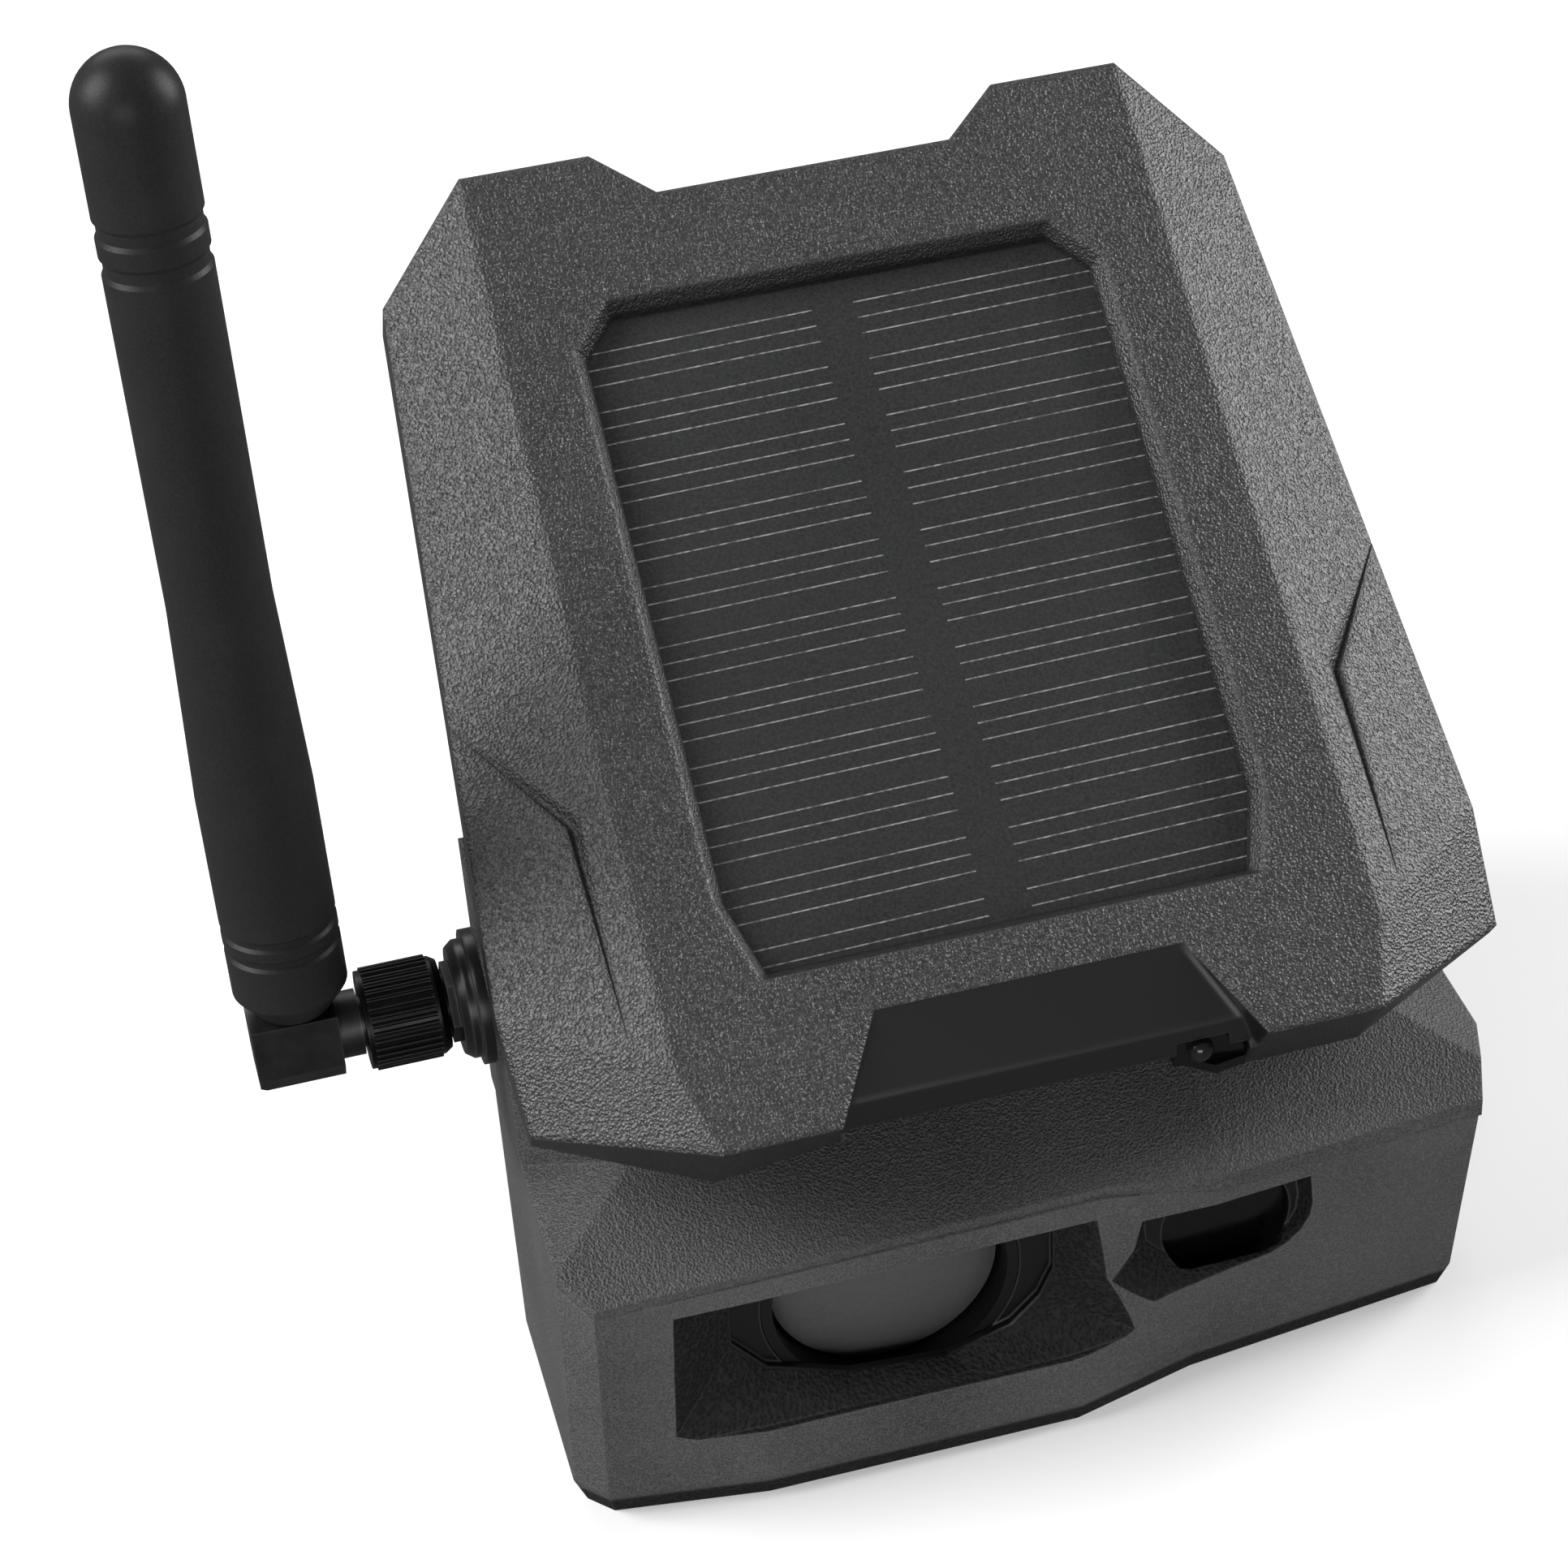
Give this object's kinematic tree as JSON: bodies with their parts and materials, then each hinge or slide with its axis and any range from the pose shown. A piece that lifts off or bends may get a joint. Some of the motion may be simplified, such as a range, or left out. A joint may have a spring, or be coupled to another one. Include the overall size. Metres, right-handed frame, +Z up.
{
  "type": "solar security camera",
  "caption": "Wedge-shaped outdoor camera with a tilted solar roof, recessed motion sensor and lens under a brow, and a swivelling side antenna.",
  "frame": {"origin": "centre of the tripod thread's mouth in the flat underside, on the housing's middle plane", "axes": "+Z up, the lens face looks along -Y, the antenna is on the -X side"},
  "size_m": [0.1189, 0.084, 0.1457],
  "materials": {
    "hood_plastic": "charcoal polycarbonate, spark-textured",
    "case_plastic": "charcoal polycarbonate, coarse leather grain",
    "face_plastic": "charcoal polycarbonate, fine grain",
    "black_plastic": "black engineering plastic",
    "gloss_black": "polished black",
    "lens_grey": "smooth grey polyethylene",
    "clear_cover": "clear laminate",
    "silicon": "dark silicon with silver lines",
    "circuit_board": "green solder mask",
    "rubber_black": "satin black",
    "black_metal": "black chromate plating",
    "steel": "zinc plated",
    "brass": "turned",
    "optical_glass": "coated",
    "led_clear": "clear epoxy",
    "cell_wrap": "shrink wrapped"
  },
  "bodies": {
    "housing": {"roof_hood": "hood_plastic", "panel_gasket": "rubber_black", "panel_laminate": "clear_cover", "solar_cells": "silicon", "panel_board": "circuit_board", "front_shell": "face_plastic", "top_shell": "case_plastic", "rear_housing": "case_plastic", "pir_lens": "lens_grey", "pir_bezel": "black_plastic", "pir_sensor": "steel", "lens_window": "optical_glass", "lens_barrel": "black_plastic", "lens_glass": "optical_glass", "lens_bezel": "black_plastic", "infrared_leds": "led_clear", "sensor_board": "circuit_board", "status_window": "gloss_black", "status_led": "led_clear", "antenna_jack": "brass", "jack_nut": "steel", "hinge_pin": "steel", "power_switch": "black_plastic", "power_socket": "black_plastic", "cover_pin": "steel", "tripod_insert": "brass", "main_board": "circuit_board", "modem": "steel", "memory_card_slot": "steel", "sim_slot": "steel", "battery_cells": "cell_wrap", "battery_cradle": "black_plastic", "case_screws": "steel", "hood_screws": "steel", "board_screws": "steel"},
    "antenna": {"antenna_sheath": "rubber_black", "antenna_core": "brass", "antenna_elbow": "black_metal"},
    "nut": {"coupling_nut": "black_metal"},
    "door": {"rear_door": "case_plastic", "door_gasket": "rubber_black"},
    "latch": {"door_latch": "black_plastic"},
    "button": {"power_button": "rubber_black"},
    "cover": {"socket_cover": "rubber_black"},
    "memory": {"memory_card": "black_plastic"},
    "sim": {"sim_card": "lens_grey"}
  },
  "joints": [
    {"name": "antenna_swing", "type": "hinge", "parent": "housing", "child": "antenna", "pos_m": [-0.0654, -0.012, 0.0464], "axis": [1, 0, 0], "range_deg": [-100, 100]},
    {"name": "nut_spin", "type": "hinge", "parent": "antenna", "child": "nut", "pos_m": [-0.0654, -0.012, 0.0464], "axis": [1, 0, 0], "continuous": true},
    {"name": "door_hinge", "type": "hinge", "parent": "housing", "child": "door", "pos_m": [0, 0.039, 0.0136], "axis": [-1, 0, 0], "range_deg": [0, 95]},
    {"name": "latch_turn", "type": "hinge", "parent": "door", "child": "latch", "pos_m": [0, 0.0385, 0.0565], "axis": [0, 1, 0], "range_deg": [0, 90]},
    {"name": "button_press", "type": "slide", "parent": "housing", "child": "button", "axis": [-1, 0, 0], "range_m": [0, 0.001], "stiffness_N_per_m": 400},
    {"name": "cover_flap", "type": "hinge", "parent": "housing", "child": "cover", "pos_m": [0.0427, 0.008, 0.0202], "axis": [0, -1, 0], "range_deg": [0, 150]},
    {"name": "memory_card_slide", "type": "slide", "parent": "housing", "child": "memory", "axis": [0, 1, 0], "range_m": [0, 0.01]},
    {"name": "sim_card_slide", "type": "slide", "parent": "housing", "child": "sim", "axis": [0, 1, 0], "range_m": [0, 0.01]}
  ]
}
